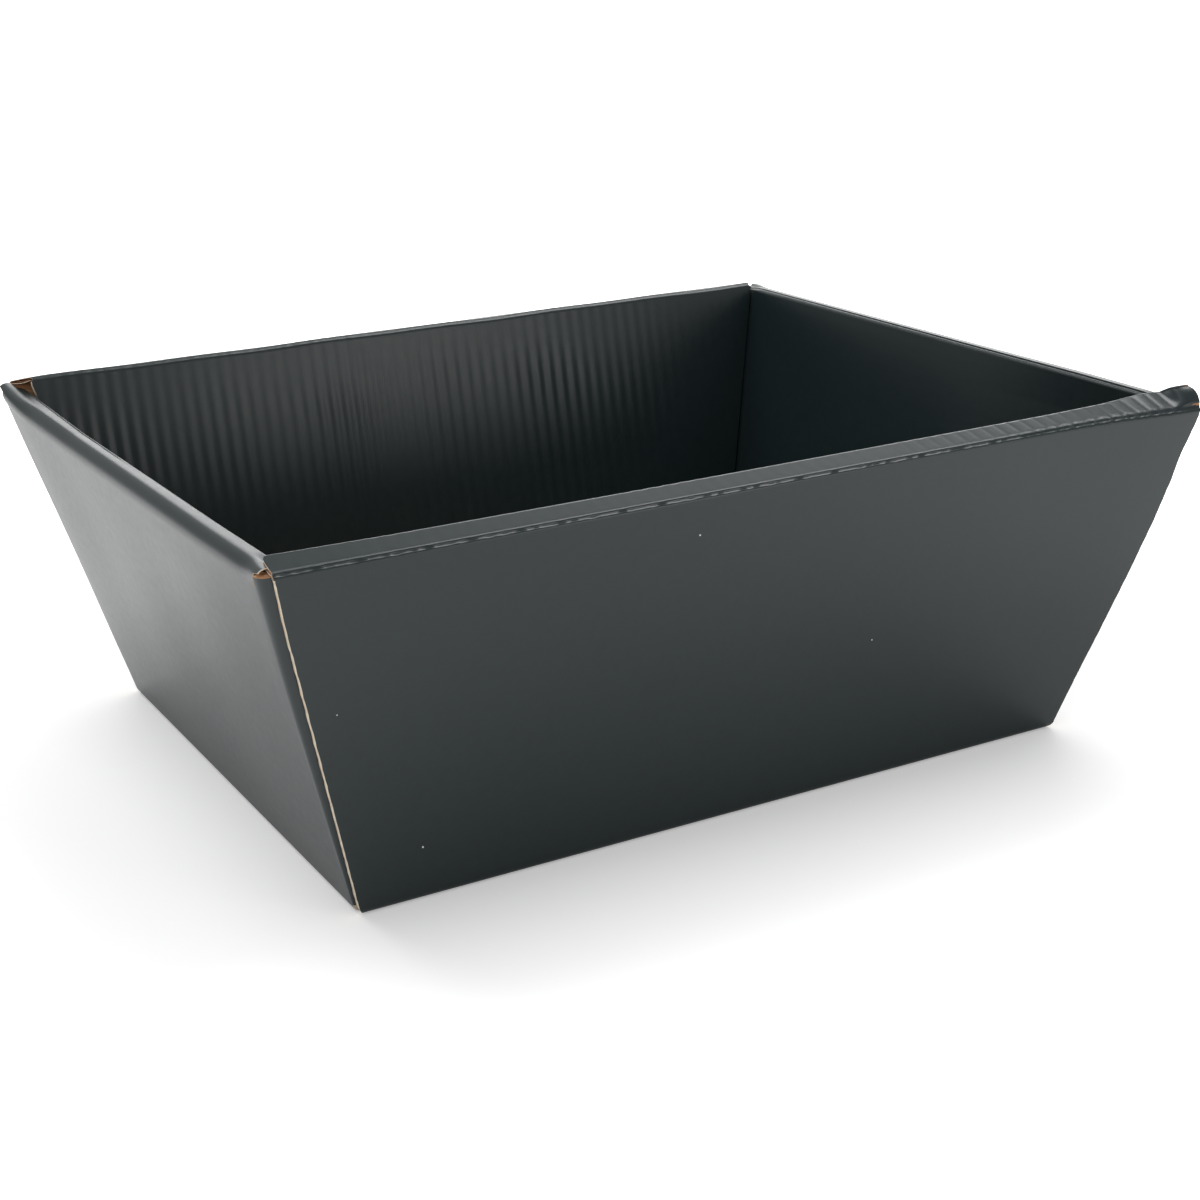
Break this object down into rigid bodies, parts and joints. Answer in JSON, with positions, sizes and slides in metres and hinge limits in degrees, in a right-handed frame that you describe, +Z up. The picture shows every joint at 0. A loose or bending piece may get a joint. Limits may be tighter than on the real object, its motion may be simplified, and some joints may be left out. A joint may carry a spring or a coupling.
{
  "type": "cardboard hamper tray",
  "caption": "Open tapered hamper tray folded from one sheet of black-faced corrugated cardboard, with double walls and rolled rims.",
  "frame": {"origin": "middle of the base's underside, on the surface the tray stands on", "axes": "+Z up, +X along the long walls, +Y towards the long wall at the back"},
  "size_m": [0.4004, 0.3184, 0.1469],
  "materials": {
    "black_board": "satin"
  },
  "bodies": {
    "root": {"tray": "black_board"}
  },
  "joints": []
}
